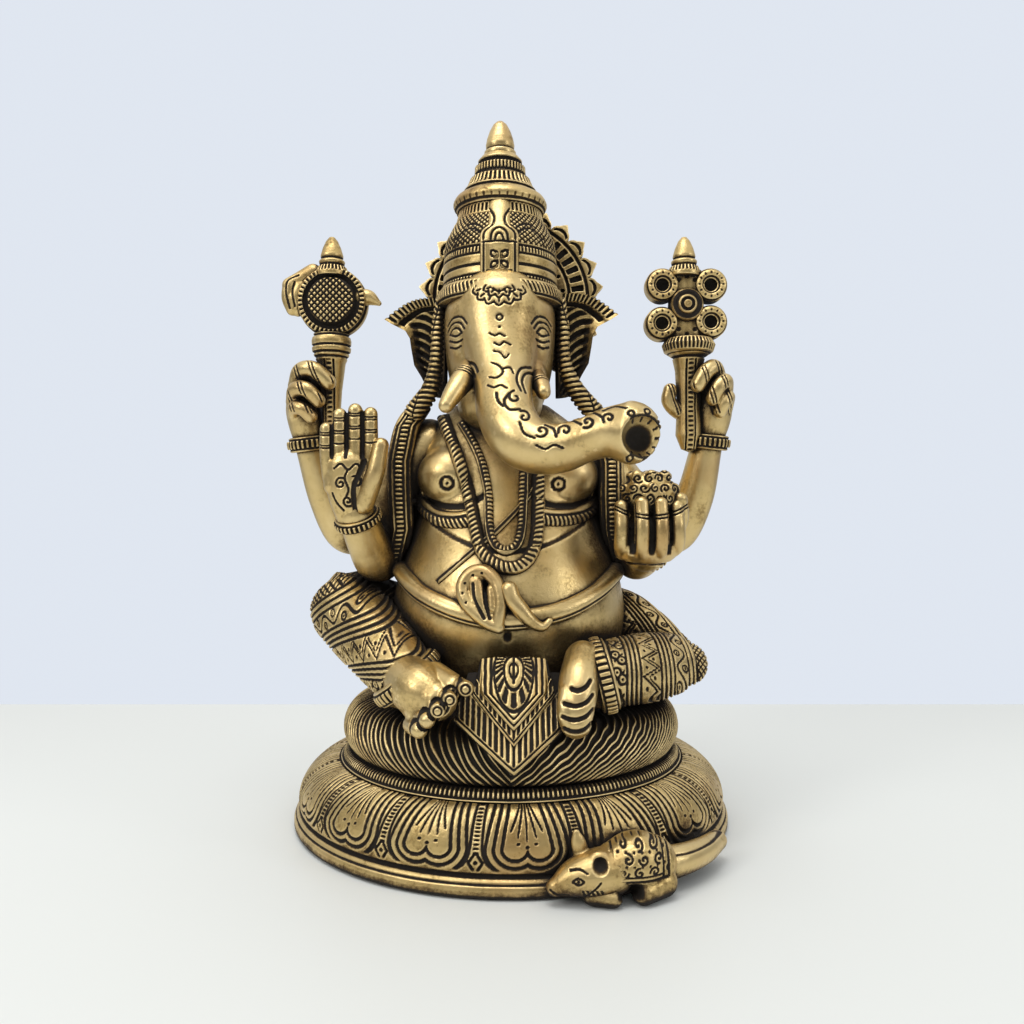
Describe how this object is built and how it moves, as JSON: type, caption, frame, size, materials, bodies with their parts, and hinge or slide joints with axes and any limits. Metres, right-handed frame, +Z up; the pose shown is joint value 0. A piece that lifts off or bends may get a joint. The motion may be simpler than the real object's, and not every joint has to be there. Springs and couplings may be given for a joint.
{
  "type": "hindu deity statue",
  "caption": "Seated four-armed elephant-headed deity figure in cast brass, on a round lotus base with a small mouse at its foot.",
  "frame": {"origin": "centre of the lotus base's foot ring, on the surface it stands on", "axes": "+Z up, the figure faces -Y, +X to the viewer's right"},
  "size_m": [0.183, 0.19, 0.285],
  "materials": {
    "polished_brass": "hand-polished cast brass, dark patina left in the recesses",
    "antique_brass": "chased cast brass, rubbed bright on the high points over a near-black patina"
  },
  "bodies": {
    "root": {"axe_blade": "antique_brass", "axe_disc": "antique_brass", "axe_finial": "antique_brass", "axe_shaft": "antique_brass", "bead_ring": "antique_brass", "bud_body": "antique_brass", "bud_finial": "antique_brass", "bud_rings": "antique_brass", "bud_shaft": "antique_brass", "chest_band": "antique_brass", "crown_band": "antique_brass", "crown_bowl": "antique_brass", "crown_brim": "antique_brass", "crown_finial": "polished_brass", "crown_plaque": "antique_brass", "crown_spire": "antique_brass", "cushion": "antique_brass", "front_left_arm": "polished_brass", "front_left_cuff": "antique_brass", "front_left_hand": "polished_brass", "front_right_arm": "polished_brass", "front_right_cuff": "antique_brass", "front_right_hand": "polished_brass", "halo": "antique_brass", "head": "polished_brass", "inner_garland": "antique_brass", "left_anklet": "antique_brass", "left_ear": "antique_brass", "left_foot": "polished_brass", "left_leg": "polished_brass", "left_lock": "antique_brass", "left_stole": "antique_brass", "left_tusk": "polished_brass", "lotus_base": "antique_brass", "lower_cloth": "antique_brass", "mouse_body": "antique_brass", "mouse_head": "antique_brass", "mouse_tail": "antique_brass", "outer_garland": "antique_brass", "rear_left_arm": "polished_brass", "rear_left_cuff": "antique_brass", "rear_left_hand": "polished_brass", "rear_right_arm": "polished_brass", "rear_right_cuff": "antique_brass", "rear_right_hand": "polished_brass", "right_anklet": "antique_brass", "right_ear": "antique_brass", "right_foot": "polished_brass", "right_leg": "polished_brass", "right_lock": "antique_brass", "right_stole": "antique_brass", "right_tusk": "polished_brass", "sacred_thread": "antique_brass", "snake_belt": "polished_brass", "snake_hood": "antique_brass", "sweet": "antique_brass", "torso": "polished_brass", "trunk": "polished_brass", "upper_cloth": "antique_brass"}
  },
  "joints": []
}
